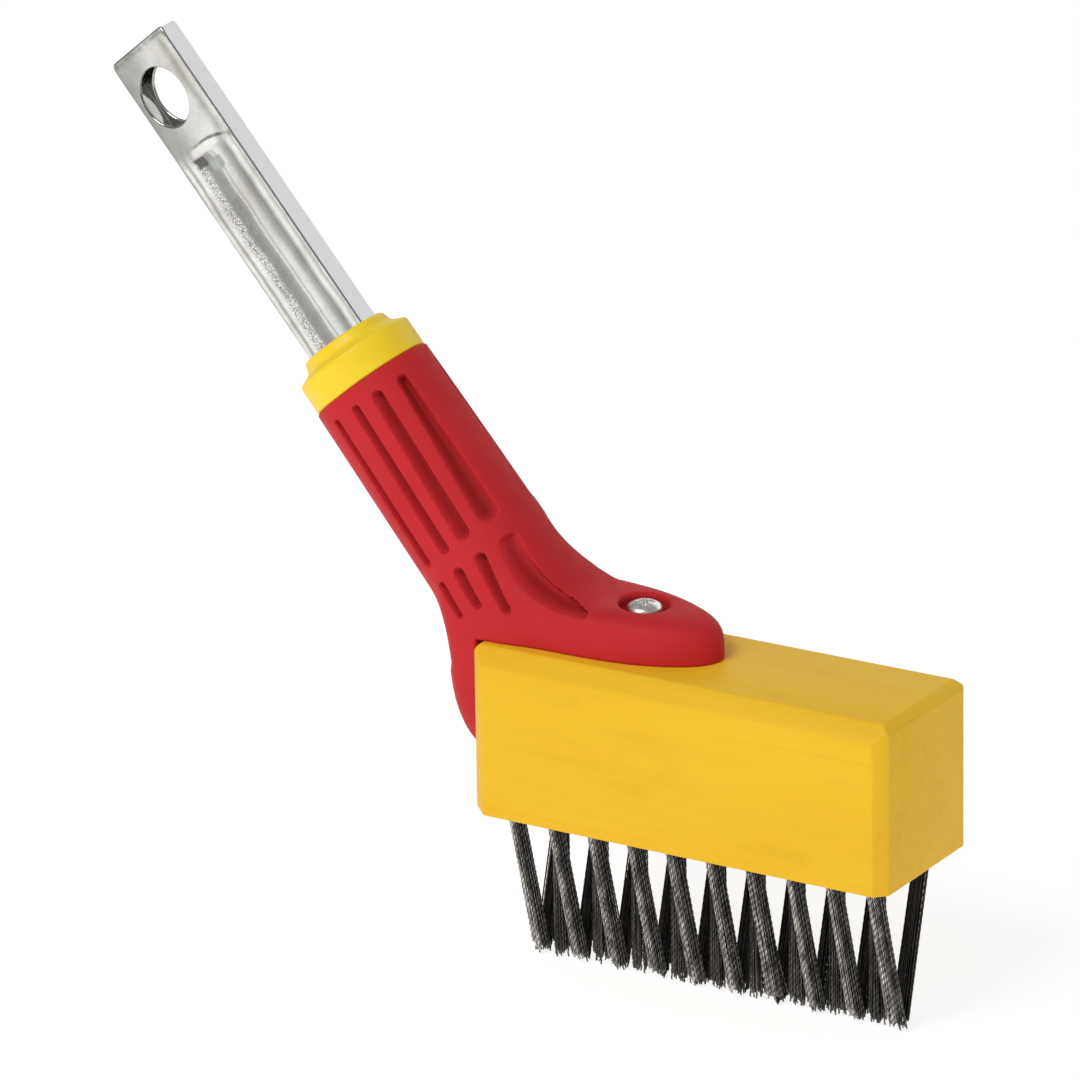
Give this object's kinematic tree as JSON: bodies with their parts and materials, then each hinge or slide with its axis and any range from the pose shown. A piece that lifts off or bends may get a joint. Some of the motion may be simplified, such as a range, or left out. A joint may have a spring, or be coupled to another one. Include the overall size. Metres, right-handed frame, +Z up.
{
  "type": "wire brush head",
  "caption": "Block brush head with leaning rows of crimped steel wire tufts, a screwed-on angled socket and a flat push-in tang for a separate handle.",
  "frame": {"origin": "on the surface the wire tips stand on, under the middle of the whole part's box", "axes": "+Z up from the wire tips; +X along the block towards its free end, away from the socket; +Y across the block, away from the tang's grooved face"},
  "size_m": [0.2922, 0.055, 0.2893],
  "materials": {
    "painted_wood": "satin yellow paint over wood",
    "red_plastic": "satin moulded",
    "yellow_plastic": "satin moulded",
    "plated_steel": "bright zinc plate",
    "screw_steel": "bright zinc plate",
    "wire_steel": "dark drawn wire"
  },
  "bodies": {
    "root": {"wooden_block": "painted_wood", "front_tuft_01": "wire_steel", "front_tuft_02": "wire_steel", "front_tuft_03": "wire_steel", "front_tuft_04": "wire_steel", "front_tuft_05": "wire_steel", "front_tuft_06": "wire_steel", "front_tuft_07": "wire_steel", "front_tuft_08": "wire_steel", "front_tuft_09": "wire_steel", "front_tuft_10": "wire_steel", "middle_tuft_01": "wire_steel", "middle_tuft_02": "wire_steel", "middle_tuft_03": "wire_steel", "middle_tuft_04": "wire_steel", "middle_tuft_05": "wire_steel", "middle_tuft_06": "wire_steel", "middle_tuft_07": "wire_steel", "middle_tuft_08": "wire_steel", "middle_tuft_09": "wire_steel", "rear_tuft_01": "wire_steel", "rear_tuft_02": "wire_steel", "rear_tuft_03": "wire_steel", "rear_tuft_04": "wire_steel", "rear_tuft_05": "wire_steel", "rear_tuft_06": "wire_steel", "rear_tuft_07": "wire_steel", "rear_tuft_08": "wire_steel", "rear_tuft_09": "wire_steel", "rear_tuft_10": "wire_steel", "handle_socket": "red_plastic", "socket_collar": "yellow_plastic", "steel_tang": "plated_steel", "top_screw": "screw_steel", "end_screw": "screw_steel"}
  },
  "joints": []
}
